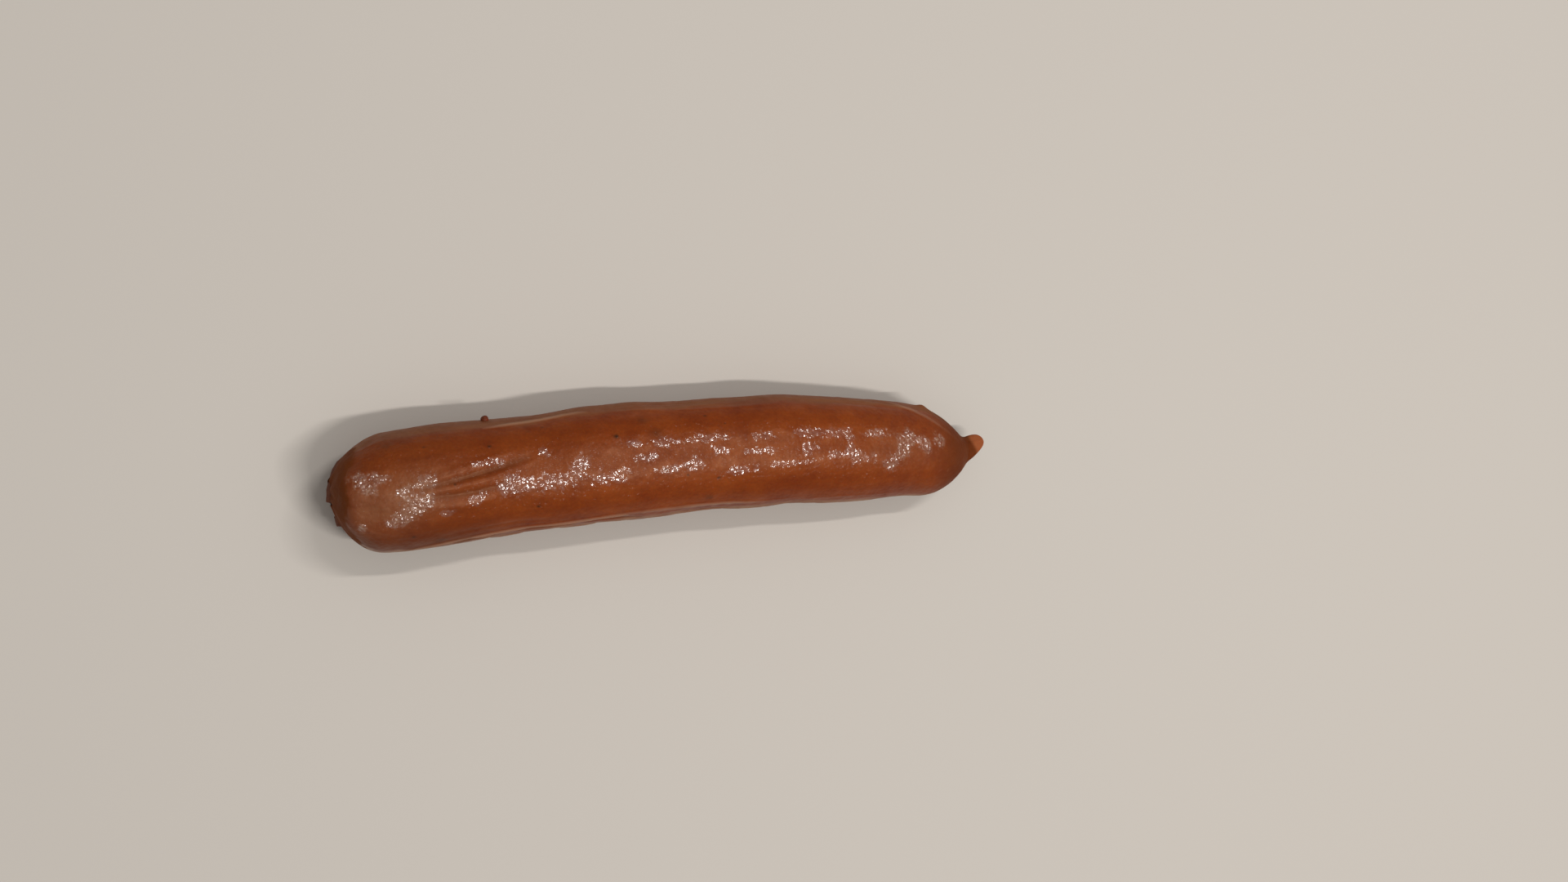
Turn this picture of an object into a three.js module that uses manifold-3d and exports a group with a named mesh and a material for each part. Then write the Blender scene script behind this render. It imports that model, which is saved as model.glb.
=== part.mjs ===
// A cooked sausage link, one solid: blunt at one end, drawn in to a gathered casing tip at the other.
// Millimetres, +Z up. X runs along the link from the blunt end to the tip. The origin is on the
// surface that the link rests on, under the middle of its bounding box.

import * as THREE from "three";
import { mergeVertices } from "three/addons/utils/BufferGeometryUtils.js";
import Module from "manifold-3d";

// Whole link
const LENGTH = 150;
const MEAT_LENGTH = 146; // only gathered casing goes on beyond this
const FLATTENING = 0.96; // height over width, as the soft link settles under its own weight
const RESTING_SINK = 0.6; // how much of the round underside is pressed flat

// Half-width of the plump body at distances from the blunt end
const GIRTH = [
  { at: 0, half: 11.5 },
  { at: 20, half: 12.9 },
  { at: 40, half: 12.3 },
  { at: 60, half: 12.65 },
  { at: 80, half: 12.2 },
  { at: 100, half: 12.25 },
  { at: 115, half: 11.65 },
  { at: 130, half: 10.55 },
  { at: 150, half: 8.9 },
];

// Line of the middle, seen from above
const BOW = 4.5; // how far the middle stands off the line between the ends
const BOW_SKEW = 1.4; // carries the bow towards the tip
const BLUNT_TURN = { reach: 10, shift: 1.8 };
const TIP_TURN = { start: 142.5, reach: 8.3, shift: 3.3 };

// How each end closes: the length of the rounding, its fullness and the sharpness of its shoulder
const BLUNT_SIDE = { length: 11.6, power: 2, exponent: 0.53 };
const BLUNT_TOP = { length: 6, power: 2.5, exponent: 0.4 };
const BLUNT_BOTTOM = { length: 12, power: 2, exponent: 0.5 };
const TIP_SIDE = { length: 13.8, power: 2, exponent: 0.775 };
const TIP_TOP = { length: 14.5, power: 2, exponent: 0.72 };

// Gathered casing beyond the meat, flatter than it is wide
const NUB_ROUND = { length: 5.5, power: 2, exponent: 0.57 };
const NUB = { half: 2.9, thickness: 0.62, pleats: 5, pleatDepth: 0.07 };
const NUB_BLEND = 4.4; // how sharply the cone passes into the nub

// The end face at the blunt end: puckered casing, and a tear in it beside and below the middle
const PUCKER = { pleats: 7, depth: 0.2, reach: 2.4 };
const TEAR = { y: -6.6, z: 6.6, width: 1.6, depth: 0.9 };

// Lengthwise folds and furrows, as lines on the skin. at is the distance from the blunt end, and turn is
// the angle round the link in degrees: 0 on the +Y side, 90 on top, 180 on the -Y side.
const FOLDS = [
  { from: { at: 17, turn: 89 }, to: { at: 40, turn: 73 }, sag: 2, width: 0.8, height: -0.38 },
  { from: { at: 21, turn: 82 }, to: { at: 38, turn: 64 }, sag: 1, width: 1.0, height: 0.3 },
  { from: { at: 18, turn: 96 }, to: { at: 34, turn: 94 }, sag: 3, width: 0.8, height: -0.3 },
  { from: { at: 18, turn: 91 }, to: { at: 35, turn: 85 }, sag: 2, width: 0.8, height: 0.25 },
  { from: { at: 18, turn: 105 }, to: { at: 32, turn: 107 }, sag: 4, width: 1.1, height: 0.22 },
  { from: { at: 31, turn: 32 }, to: { at: 53, turn: 25 }, sag: -2, width: 1.0, height: 0.25 },
  { from: { at: 16, turn: 158 }, to: { at: 50, turn: 158 }, sag: 4, width: 1.0, height: 0.25 },
  { from: { at: 55, turn: 150 }, to: { at: 82, turn: 153 }, sag: -3, width: 1.2, height: 0.2 },
  { from: { at: 122, turn: 6 }, to: { at: 141, turn: 68 }, sag: 0, width: 1.3, height: 0.3 },
];

// Round lumps and dents in the skin: width is the distance at which they have faded by two thirds
const LUMPS = [
  { at: 6.6, turn: 106, width: 3.0, height: -0.5 },
  { at: 9.2, turn: 92, width: 2.2, height: 0.25 },
  { at: 3.6, turn: 55, width: 2.2, height: -0.45 },
  { at: 65, turn: 10, width: 3.5, height: 0.25 },
  { at: 133.7, turn: 14, width: 1.5, height: 0.45 },
  { at: 101, turn: 172, width: 6, height: -0.25 },
];

// Slow unevenness of the filling: waves along the link, each turned round it by its own number of degrees
const WAVES = [
  { length: 37, turn: 110, height: 0.09 },
  { length: 23, turn: 75, height: 0.07 },
  { length: 15, turn: 100, height: 0.05 },
];

// A crumb stuck to the skin, and the two ragged edges of casing at the tear. x, y and z place an edge's
// root, height is how far it runs up the end face, and lean turns it to follow the face.
const CRUMB = { at: 32.9, turn: 9, radius: 0.85 };
const SCRAPS = [
  { x: -74.75, y: -4.1, z: 5.2, size: 1.0, height: 2.6, lean: 4 },
  { x: -73.25, y: -9.0, z: 5.4, size: 1.2, height: 2.4, lean: 22 },
];

// Mesh: rings close up where an end curves, and sides are closer together on top, where the folds are
const BLUNT_RINGS = { count: 14, reach: 15, crowding: 2.2 };
const TIP_RINGS = { count: 21, reach: 17, crowding: 1.9 };
const BODY_RING_STEP = 1.9;
const TOP_SIDES = 34;
const BOTTOM_SIDES = 18;

const SKIN = { color: "#7a3d1d", roughness: 0.42, metalness: 0 };

const girth = new THREE.CubicInterpolant(
  GIRTH.map((station) => station.at),
  GIRTH.map((station) => station.half),
  1,
);
const girthAt = (at) => girth.evaluate(at)[0];

// 0 at the very end, 1 once the rounding is over.
function closing(distance, { length, power, exponent }) {
  const left = THREE.MathUtils.clamp(1 - distance / length, 0, 1);
  return (1 - left ** power) ** exponent;
}

// Y of the middle of the link.
function middle(at) {
  const u = (2 * at) / LENGTH - 1;
  const blunt = THREE.MathUtils.clamp(1 - at / BLUNT_TURN.reach, 0, 1) ** 2;
  const tip = THREE.MathUtils.smoothstep(at, TIP_TURN.start, TIP_TURN.start + TIP_TURN.reach);
  return (
    -BOW * u * u - BOW_SKEW * (u ** 3 - u) + BLUNT_TURN.shift * blunt + TIP_TURN.shift * tip
  );
}

// Height of the middle: the underside follows the surface that it lies on.
const axisHeight = (at) => FLATTENING * girthAt(Math.min(at, MEAT_LENGTH)) - RESTING_SINK;

// Distance round the link between two angles, in millimetres.
function around(turn, other, at) {
  const apart = THREE.MathUtils.euclideanModulo(turn - other + 180, 360) - 180;
  return THREE.MathUtils.degToRad(apart) * girthAt(at);
}

const bell = (distance, width) => Math.exp(-((distance / width) ** 2));

function foldHeight(at, turn, { from, to, sag, width, height }) {
  const along = (at - from.at) / (to.at - from.at);
  if (along <= 0 || along >= 1) return 0;
  const bulge = 4 * along * (1 - along);
  const line = THREE.MathUtils.lerp(from.turn, to.turn, along) + sag * bulge;
  return height * Math.sqrt(bulge) * bell(around(turn, line, at), width);
}

function lumpHeight(at, turn, lump) {
  const apart = Math.hypot(at - lump.at, around(turn, lump.turn, lump.at));
  return lump.height * bell(apart, lump.width);
}

function waveHeight(at, turn, { length, turn: start, height }) {
  const phase = (2 * Math.PI * at) / length;
  return height * Math.sin(phase + THREE.MathUtils.degToRad(turn - start));
}

// How far the skin stands off the plain body.
function relief(at, turn) {
  const folds = FOLDS.reduce((sum, fold) => sum + foldHeight(at, turn, fold), 0);
  const lumps = LUMPS.reduce((sum, lump) => sum + lumpHeight(at, turn, lump), 0);
  const waves = WAVES.reduce((sum, wave) => sum + waveHeight(at, turn, wave), 0);
  return folds + lumps + waves;
}

// Distance of the skin from the middle of the link.
function radiusAt(at, turn) {
  const up = Math.sin(THREE.MathUtils.degToRad(turn));
  const upright = up * up;
  const fromTip = MEAT_LENGTH - at;
  const side = closing(at, BLUNT_SIDE) * closing(fromTip, TIP_SIDE);
  const vertical = closing(at, up > 0 ? BLUNT_TOP : BLUNT_BOTTOM) * closing(fromTip, TIP_TOP);
  const full = THREE.MathUtils.lerp(side, vertical, upright);
  const meat = Math.max(0, girthAt(at) * full + relief(at, turn) * Math.min(1, 3 * full));
  const pleat = 1 + NUB.pleatDepth * Math.cos(THREE.MathUtils.degToRad(NUB.pleats * turn));
  const thickness = THREE.MathUtils.lerp(1, NUB.thickness, upright);
  const nub = NUB.half * closing(LENGTH - at, NUB_ROUND) * thickness * pleat;
  return (meat ** NUB_BLEND + nub ** NUB_BLEND) ** (1 / NUB_BLEND);
}

// How far the end face is pressed in along the link at a place on it.
function endFaceDepth(at, turn, radius, y, z) {
  const near = Math.max(0, 1 - at / PUCKER.reach);
  const pleat = 1 + Math.cos(THREE.MathUtils.degToRad(PUCKER.pleats * turn));
  const pucker = PUCKER.depth * pleat * Math.min(1, radius / 3);
  const tear = TEAR.depth * bell(Math.hypot(y - TEAR.y, z - TEAR.z), TEAR.width);
  return near * pucker + Math.min(1, 2 * near) * tear;
}

// A point of the skin.
function skin(at, turn) {
  const angle = THREE.MathUtils.degToRad(turn);
  const radius = radiusAt(at, turn);
  const y = middle(at) + radius * Math.cos(angle);
  const z = axisHeight(at) + FLATTENING * radius * Math.sin(angle);
  const x = at - LENGTH / 2 + endFaceDepth(at, turn, radius, y, z);
  return new THREE.Vector3(x, y, Math.max(z, 0));
}

// Distances of the rings from the blunt end, without the two poles.
function ringPlaces() {
  const places = [];
  for (let i = 1; i <= BLUNT_RINGS.count; i += 1) {
    places.push(BLUNT_RINGS.reach * (i / BLUNT_RINGS.count) ** BLUNT_RINGS.crowding);
  }
  const last = LENGTH - TIP_RINGS.reach;
  const steps = Math.round((last - BLUNT_RINGS.reach) / BODY_RING_STEP);
  for (let i = 1; i < steps; i += 1) {
    places.push(THREE.MathUtils.lerp(BLUNT_RINGS.reach, last, i / steps));
  }
  for (let i = TIP_RINGS.count; i >= 1; i -= 1) {
    places.push(LENGTH - TIP_RINGS.reach * (i / TIP_RINGS.count) ** TIP_RINGS.crowding);
  }
  return places;
}

// Angles of the sides in degrees, from the +Y side over the top and back underneath.
function sideTurns() {
  const over = Array.from({ length: TOP_SIDES }, (_, i) => (180 * i) / TOP_SIDES);
  const under = Array.from({ length: BOTTOM_SIDES }, (_, i) => 180 + (180 * i) / BOTTOM_SIDES);
  return [...over, ...under];
}

function bodyGeometry() {
  const places = ringPlaces();
  const turns = sideTurns();
  const count = turns.length;
  const points = [skin(0, 0)];
  places.forEach((at) => turns.forEach((turn) => points.push(skin(at, turn))));
  points.push(skin(LENGTH, 0));
  const faces = [];
  const tip = points.length - 1;
  const corner = (ring, i) => 1 + ring * count + (i % count);
  for (let i = 0; i < count; i += 1) {
    faces.push(0, corner(0, i + 1), corner(0, i));
    for (let ring = 0; ring + 1 < places.length; ring += 1) {
      const [a, b] = [corner(ring, i), corner(ring, i + 1)];
      const [c, d] = [corner(ring + 1, i), corner(ring + 1, i + 1)];
      faces.push(a, b, c);
      faces.push(b, d, c);
    }
    faces.push(tip, corner(places.length - 1, i), corner(places.length - 1, i + 1));
  }
  return new THREE.BufferGeometry().setFromPoints(points).setIndex(faces);
}

// A ball pressed half into the skin.
function crumbGeometry() {
  const geometry = new THREE.IcosahedronGeometry(CRUMB.radius, 1);
  const place = skin(CRUMB.at, CRUMB.turn);
  return geometry.translate(place.x, place.y, place.z);
}

// A ragged edge of casing, standing up the end face with its lip turned out towards the tear.
function scrapGeometry({ x, y, z, size, height, lean }) {
  const outline = new THREE.Shape();
  outline.moveTo(0.9 * size, 1.0 * size);
  outline.lineTo(0.1 * size, 0.9 * size);
  outline.lineTo(-0.15 * size, 0.1 * size);
  outline.lineTo(-0.3 * size, -0.8 * size);
  outline.lineTo(0.2 * size, -1.0 * size);
  outline.lineTo(1.1 * size, -0.6 * size);
  const geometry = new THREE.ExtrudeGeometry(outline, { depth: height, bevelEnabled: false });
  geometry.rotateZ(THREE.MathUtils.degToRad(lean));
  return geometry.translate(x, y, z);
}

function toManifold(wasm, geometry) {
  const bare = geometry.clone();
  bare.deleteAttribute("normal");
  bare.deleteAttribute("uv");
  const merged = mergeVertices(bare, 1e-4);
  const vertProperties = merged.attributes.position.array;
  const triVerts = new Uint32Array(merged.index.array);
  return new wasm.Manifold(new wasm.Mesh({ numProp: 3, vertProperties, triVerts }));
}

function toGeometry(solid) {
  const { vertProperties, triVerts } = solid.getMesh();
  const geometry = new THREE.BufferGeometry();
  geometry.setAttribute("position", new THREE.BufferAttribute(vertProperties, 3));
  geometry.setIndex(new THREE.BufferAttribute(triVerts, 1));
  return geometry;
}

// The link with its crumb and scraps grown on, and its bounding box centred over the origin.
function sausageGeometry(wasm) {
  const extras = [crumbGeometry(), ...SCRAPS.map(scrapGeometry)];
  const body = toManifold(wasm, bodyGeometry());
  const solid = extras.reduce((sum, extra) => sum.add(toManifold(wasm, extra)), body);
  const geometry = toGeometry(solid);
  geometry.computeBoundingBox();
  const centre = geometry.boundingBox.getCenter(new THREE.Vector3());
  geometry.translate(-centre.x, -centre.y, 0);
  geometry.computeVertexNormals();
  return geometry;
}

const wasm = await Module();
wasm.setup();

const sausage = new THREE.Mesh(sausageGeometry(wasm), new THREE.MeshStandardMaterial(SKIN));
sausage.name = "sausage";

const link = new THREE.Group();
link.add(sausage);

export default link;
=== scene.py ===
# A cooked sausage link in its casing, lying on a pale floor. Metres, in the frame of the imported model.
# Places on the skin are given by at, the distance from the blunt end, and turn, the angle round the link in
# degrees: 0 on the +Y side, 90 on top, 180 on the -Y side, 270 underneath.

import math

import bmesh
import bpy
import numpy as np
from bpy.props import FloatProperty, FloatVectorProperty, IntProperty, PointerProperty
from mathutils import Matrix, Vector, noise


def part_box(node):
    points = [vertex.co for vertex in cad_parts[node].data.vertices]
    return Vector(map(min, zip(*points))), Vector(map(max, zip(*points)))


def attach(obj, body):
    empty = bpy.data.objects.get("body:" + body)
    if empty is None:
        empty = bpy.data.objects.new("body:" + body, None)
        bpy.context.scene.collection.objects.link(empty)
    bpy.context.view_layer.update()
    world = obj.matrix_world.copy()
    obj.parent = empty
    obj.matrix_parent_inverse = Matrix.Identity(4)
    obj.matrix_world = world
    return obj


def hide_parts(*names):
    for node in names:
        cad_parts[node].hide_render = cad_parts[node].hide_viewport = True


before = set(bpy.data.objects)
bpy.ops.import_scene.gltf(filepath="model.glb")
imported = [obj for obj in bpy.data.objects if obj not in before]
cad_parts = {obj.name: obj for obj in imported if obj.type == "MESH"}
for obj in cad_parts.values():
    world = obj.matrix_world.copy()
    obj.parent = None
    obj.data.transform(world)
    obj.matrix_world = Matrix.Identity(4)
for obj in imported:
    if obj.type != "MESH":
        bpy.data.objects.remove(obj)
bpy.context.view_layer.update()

bl_info = {
    "name": "Sausage link",
    "version": (1, 0, 0),
    "blender": (4, 5, 0),
    "location": "3D View > Sidebar > Sausage",
    "description": "A cooked sausage link with its casing, torn edges and a crumb",
    "category": "Add Mesh",
}

LINK_LOW, LINK_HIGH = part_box("sausage")

MM = 0.001

# Whole link
LENGTH = 150 * MM
MEAT_LENGTH = 146 * MM  # only gathered casing goes on beyond this
FLATTENING = 0.96  # height over width, as the soft link settles under its own weight
RESTING_SINK = 0.6 * MM  # how much of the round underside is pressed flat
MEAN_GIRTH = 12.3 * MM  # half-width that turns an angle round the link into a distance

# Half-width of the plump body at distances from the blunt end, both in millimetres
GIRTH = {0: 11.5, 20: 12.9, 40: 12.3, 60: 12.65, 80: 12.2, 100: 12.25, 115: 11.65, 130: 10.55, 150: 8.9}
GIRTH_SCALE = 16 * MM  # the half-width at the top of the girth curve's graph

# Line of the middle, seen from above
BOW = 4.5 * MM
BOW_SKEW = 1.4 * MM
BLUNT_TURN = {"reach": 10 * MM, "shift": 1.8 * MM}
TIP_TURN = {"start": 142.5 * MM, "reach": 8.3 * MM, "shift": 3.3 * MM}

# How each end closes: the length of the rounding, its fullness and the sharpness of its shoulder
BLUNT_SIDE = (11.6 * MM, 2.0, 0.53)
BLUNT_TOP = (4.6 * MM, 2.5, 0.37)
BLUNT_BOTTOM = (12 * MM, 2.0, 0.5)
TIP_SIDE = (13.8 * MM, 2.0, 0.775)
TIP_TOP = (14.5 * MM, 2.0, 0.72)

# Gathered casing beyond the meat, flatter than it is wide
NUB_ROUND = (5.5 * MM, 2.0, 0.57)
NUB = {"half": 2.9 * MM, "thickness": 0.62, "pleats": 5, "pleat_depth": 0.07}
NUB_BLEND = 4.4

# The end face at the blunt end: puckered casing, and a tear in it beside and below the middle
PUCKER = {"pleats": 7, "depth": 0.2 * MM, "reach": 2.4 * MM, "round": 3 * MM}
TEAR = {"y": -6.6 * MM, "z": 6.6 * MM, "width": 1.6 * MM, "depth": 0.9 * MM}

# Lengthwise folds and furrows, as lines on the skin: from (at, turn) to (at, turn), then sag in degrees,
# width and height in millimetres
FOLDS = [
    ((16, 89), (41, 72), 2, 1.0, -0.42), ((20, 81), (38, 62), 1, 1.0, 0.26),
    ((17, 97), (36, 95), 3, 0.9, -0.34), ((18, 92), (36, 84), 2, 0.7, 0.2),
    ((18, 106), (33, 107), 4, 1.0, 0.22), ((31, 32), (55, 24), -2, 0.6, 0.3),
    ((14, 166), (33, 156), -3, 0.65, 0.36), ((28, 156), (62, 152), 1, 0.65, 0.42),
    ((56, 151), (92, 152), -2, 0.8, 0.18), ((120, 4), (141, 68), 0, 0.8, 0.16),
]
# Finer creases of loose casing along both edges and round the shoulders, which only the dressed link has
CREASES = [
    ((50, 27), (92, 24), 3, 0.45, 0.09), ((60, 19), (82, 22), -2, 0.4, -0.09),
    ((66, 31), (98, 33), 2, 0.5, 0.08), ((90, 16), (118, 20), 3, 0.45, 0.08),
    ((104, 27), (126, 36), -2, 0.45, -0.08), ((112, 14), (134, 34), 2, 0.5, 0.09),
    ((22, 143), (46, 145), -3, 0.5, -0.1), ((17, 177), (24, 170), 2, 0.5, -0.3),
    ((24, 162), (34, 165), -3, 0.75, -0.5), ((33, 180), (40, 170), 2, 0.6, 0.34),
    ((38, 160), (51, 164), -3, 0.75, -0.5), ((48, 179), (56, 170), 3, 0.6, 0.32),
    ((53, 159), (66, 165), -3, 0.6, -0.34), ((63, 180), (74, 172), 3, 0.5, 0.22),
    ((72, 163), (88, 170), -3, 0.5, -0.2), ((85, 179), (99, 171), 3, 0.45, 0.2),
    ((97, 163), (110, 171), -3, 0.45, -0.15), ((107, 180), (121, 172), 3, 0.45, 0.16),
    ((74, 147), (104, 150), 3, 0.5, 0.09), ((96, 158), (124, 152), -3, 0.5, 0.08),
    ((14, 62), (30, 52), 3, 0.6, 0.07), ((4, 88), (10, 101), 3, 0.6, 0.16),
    ((3, 118), (12, 130), 4, 0.7, 0.1), ((2, 40), (13, 28), -4, 0.7, 0.1),
    ((38, 112), (60, 118), 3, 0.9, 0.06), ((60, 66), (84, 62), -3, 1.0, 0.06),
]

# Round lumps and dents: at, turn, reach along the link, reach round it, height, all but turn in millimetres
LUMPS = [
    (6.6, 106, 3.0, 3.0, -0.5), (9.2, 92, 2.2, 2.2, 0.25), (3.6, 55, 2.2, 2.2, -0.45),
    (65, 10, 3.5, 3.5, 0.25), (133.7, 14, 1.2, 1.2, 0.6), (101, 172, 6, 6, -0.25),
    (72, 89, 62, 5.5, -0.3),
]

# Slow unevenness of the filling: wavelength in millimetres, degrees it is turned, height in millimetres
WAVES = [(37, 110, 0.09), (23, 75, 0.07), (15, 100, 0.05)]

# Melted fat, still wet on top: at, turn, reach along the link, reach round it
WET_PATCHES = [
    (4.6, 71, 2.4, 1.8), (9, 73, 2.0, 1.4), (6.5, 84, 2.2, 1.2), (13, 90, 1.6, 1.2),
    (12, 117, 3.2, 1.8), (16, 108, 2.4, 1.4), (5, 124, 1.2, 1.6), (18, 83, 3.4, 1.8),
    (17, 101, 4.0, 1.6), (22, 115, 2.2, 1.0), (28, 106, 2.8, 1.4), (31, 73, 4.6, 1.1),
    (36, 96, 3.4, 2.6), (43.5, 69, 1.5, 1.8), (45, 100, 6.5, 2.6), (51, 84, 2.4, 2.2),
    (58, 101, 4.6, 2.3), (63, 72, 2.2, 1.5), (65, 86, 3.4, 1.1), (69, 72, 2.4, 1.5),
    (70, 101, 3.6, 1.3), (76, 97, 2.8, 1.8), (78, 72, 7.0, 1.2), (82, 85, 2.4, 1.1),
    (86, 107, 4.4, 1.3), (91, 88, 6.0, 0.9), (92, 73, 4.0, 1.0), (97, 103, 5.0, 1.1),
    (102, 71, 4.0, 1.5), (102, 88, 2.0, 1.9), (109, 71, 3.4, 1.5), (108, 97, 3.4, 1.4),
    (112, 82, 1.2, 3.4), (115, 99, 3.4, 1.9), (119, 72, 3.8, 1.7), (122, 108, 2.4, 2.1),
    (125, 90, 2.3, 3.0), (127, 74, 2.1, 2.6), (131, 84, 1.9, 2.6), (135, 76, 1.7, 2.4),
]

# Set fat that clouds the skin, partly a painted sheen: at, turn, reach along the link, reach round it,
# strength from 0 to 1
MILKY_SHEEN_PATCHES = [
    (5, 100, 2.6, 6.0, 0.4), (10, 104, 7.0, 5.5, 0.6), (17, 92, 6.5, 5.0, 0.5),
    (50, 88, 12.0, 3.6, 0.15), (84, 88, 20.0, 3.6, 0.12), (126, 88, 9.0, 5.0, 0.35),
]

# Coarse ground pepper that shows through the casing: at, turn, half-width, darkness from 0 to 1
PEPPER = [
    (59.1, 62, 0.55, 1.0), (32, 56, 0.42, 0.75), (15.5, 138, 0.45, 0.7), (41.8, 124, 0.36, 0.85),
    (18.6, 48, 0.35, 0.55), (24, 89, 0.32, 0.6), (69.3, 100, 0.34, 0.7), (74.3, 108, 0.3, 0.7),
    (79.7, 46, 0.34, 0.65), (81.4, 114, 0.34, 0.8), (83.7, 57, 0.26, 0.6), (44.1, 39, 0.3, 0.55),
    (11.1, 38, 1.6, 0.3), (65.6, 46, 1.2, 0.4), (68, 62, 1.5, 0.35), (21.5, 150, 1.1, 0.4),
    (79.8, 138, 1.0, 0.35),
]
PEPPER_WIDTH = 0.8  # how wide a fleck is round the link, for its length along it
PEPPER_RAGGEDNESS = 0.5 * MM

# Mesh: rings close up where an end curves
RINGS = 410
SIDES = 240
BLUNT_RINGS = {"share": 0.1, "reach": 15 * MM, "crowding": 2.2}
TIP_RINGS = {"share": 0.13, "reach": 17 * MM, "crowding": 1.9}
WELD = 0.001 * MM  # distance under which the poles' and the seam's points are one
SEAM_TURN = -90  # the seam runs underneath
SEED = 7

# Crumb stuck to the skin: its place, its size, its lumps and how much of its radius sinks in
CRUMB = {"at": 32.9 * MM, "turn": 9, "radius": 0.85 * MM, "lump": 0.7 * MM, "lumpiness": 0.16, "sunk": 0.15}

# Lips of torn casing on the end face, in millimetres: height of the middle, how tall, and the outer edge
# from corner to corner as x and y
LIPS = [
    (
        9,
        7.6,
        [(-70.7, 6.9), (-72.7, 5.4), (-73.7, 3.9), (-74.4, 2.1), (-74.8, 1.2), (-75.2, -0.4)]
        + [(-75.25, -1.6), (-75.43, -2.9), (-74.7, -3.25), (-74.07, -3.7), (-73.96, -4.8), (-73.6, -5.8)],
    ),
    (
        8.6,
        6.4,
        [(-73.6, -5.9), (-73.9, -6.3), (-73.72, -7.2), (-73.5, -8.2), (-73.0, -8.25), (-72.48, -8.1)]
        + [(-71.7, -9.1), (-70.74, -10.1), (-70.1, -11.0), (-69.3, -11.9), (-68.0, -13.0)],
    ),
]
LIP = {"depth": 1.8 * MM, "step": 0.18 * MM, "sides": 10, "roundness": 0.7, "roughening": 1.3 * MM}
LIP_HEART = (-66 * MM, -1 * MM)  # the point inside the link that every lip leans towards

# Patterns on the skin: size in millimetres, detail, roughness of the detail
PATTERNS = {
    "clouds": (9, 3.0, 0.6),
    "blotches": (2.4, 2.0, 0.5),
    "streaks": (2.2, 2.0, 0.5),
    "grain": (0.6, 1.0, 0.5),
    "film border": (7, 2.0, 0.5),
    "pepper outline": (0.5, 1.0, 0.5),
    "pebbles": (2, 1.0, 0.4),
    "pores": (0.65, 1.0, 0.5),
    "pools": (1.6, 2.0, 0.5),
    "specks": (0.55, 1.0, 0.5),
}
STREAK_STRETCH = 0.16  # streaks run along the link
DROP_SIZE = 0.95 * MM  # one drop of melted fat, drawn a little coarser than it is so that it shows

# Loose dry casing along both edges, paler partly as a painted reflection of the floor: degrees round the
# link over which it comes and goes
FAR_FILM_AND_REFLECTION = {"below": (-25.0, -5.0), "above": (35.0, 43.0), "most": 0.75}
NEAR_FILM_AND_REFLECTION = {"above": (168.0, 176.0), "below": (188.0, 208.0), "most": 0.7}
# The pale band right at the near edge is a painted reflection of the floor
NEAR_EDGE_REFLECTION = {"turn": 180.0, "fades": (4.0, 12.0), "most": 0.6}
FILM_AND_REFLECTION_WANDER = 16.0  # how far its borders wander, in degrees
NEAR_FILM_AND_REFLECTION_DROP = {"at": (6 * MM, 26 * MM), "degrees": 12.0}  # it starts lower down at the blunt end

# Heights of the folds over which a crest pales with a painted highlight and a furrow darkens with painted
# shade, and of the link over which crests stop
CREST_HIGHLIGHT = {"fold": (0.06 * MM, 0.24 * MM), "height": (19 * MM, 22 * MM), "most": 0.6}
FURROW_SHADE = {"fold": (-0.35 * MM, -0.05 * MM), "most": 0.6}

# Ends of the link, by distance from the blunt end. The burnt face, darkened partly by painted shade,
# reaches further down both sides.
BURNT_AND_SHADED = {"at": (1.7 * MM, 3 * MM), "near side": 4.5 * MM, "far side": 3 * MM, "raggedness": 3 * MM}
NEAR_SIDE, FAR_SIDE = (130.0, 175.0), (75.0, 30.0)
CONE = {"at": (131 * MM, 141 * MM), "most": 0.8}
# The nub's bare casing is paler; on its near side it starts later, so the cone's dark reaches over it as
# painted shade
BARE_NUB = {"at": (146.4 * MM, 147.5 * MM), "slant": 0.9 * MM, "most": 0.9}
# The colour darkens towards the blunt end
DARKER_TO_BLUNT_END = {"at": (0.0, 70 * MM), "least": 0.8}
# Painted shade on the near flank towards the blunt end: degrees round the link, distance from the end, most
NEAR_FLANK_SHADE = {"turn": (118.0, 150.0), "at": (22 * MM, 42 * MM), "most": 0.6}
ROUGHER = {"blunt": (4 * MM, 26 * MM), "tip": (104 * MM, 134 * MM)}

# Fine relief of the shading: what pores and drops add to the pebbles, and its height dry and wet
FINE_RELIEF = {"pores": 0.3, "drops": -0.48, "dry": 0.1 * MM, "wet": 0.5 * MM}

# Camera: where it looks on the floor, how far off, how far it leans back from straight down, and its roll
CAMERA = {"x": 29.14 * MM, "y": 3.45 * MM, "distance": 496.3 * MM, "tilt": 19.0, "roll": 3.5, "lens": 50.0}

# Round floor, a hair below the link so that no two faces meet
FLOOR = {"radius": 2.5, "drop": 0.03 * MM}

# How far the lamps stand off, for their height: both towards the tip, and each to its own side
LAMP_LEAN = 0.28
LAMP_SLOPES = {"near lamp": -0.27, "far lamp": 0.36}

MATH = "ShaderNodeMath"
COMBINE = "ShaderNodeCombineXYZ"
SEPARATE = "ShaderNodeSeparateXYZ"
RANGE = "ShaderNodeMapRange"
NOISE = "ShaderNodeTexNoise"
MIX = "ShaderNodeMix"
BUMP = "ShaderNodeBump"
VECTOR_MATH = "ShaderNodeVectorMath"
SMOOTH = {"interpolation_type": "SMOOTHSTEP"}


def linear(hex_colour):
    """An sRGB hex colour as linear red, green and blue."""
    values = [int(hex_colour[i : i + 2], 16) / 255 for i in (1, 3, 5)]
    return tuple(v / 12.92 if v <= 0.04045 else ((v + 0.055) / 1.055) ** 2.4 for v in values)


def opaque(colour):
    """Red, green and blue as a socket takes them."""
    return (*colour, 1.0)


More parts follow.
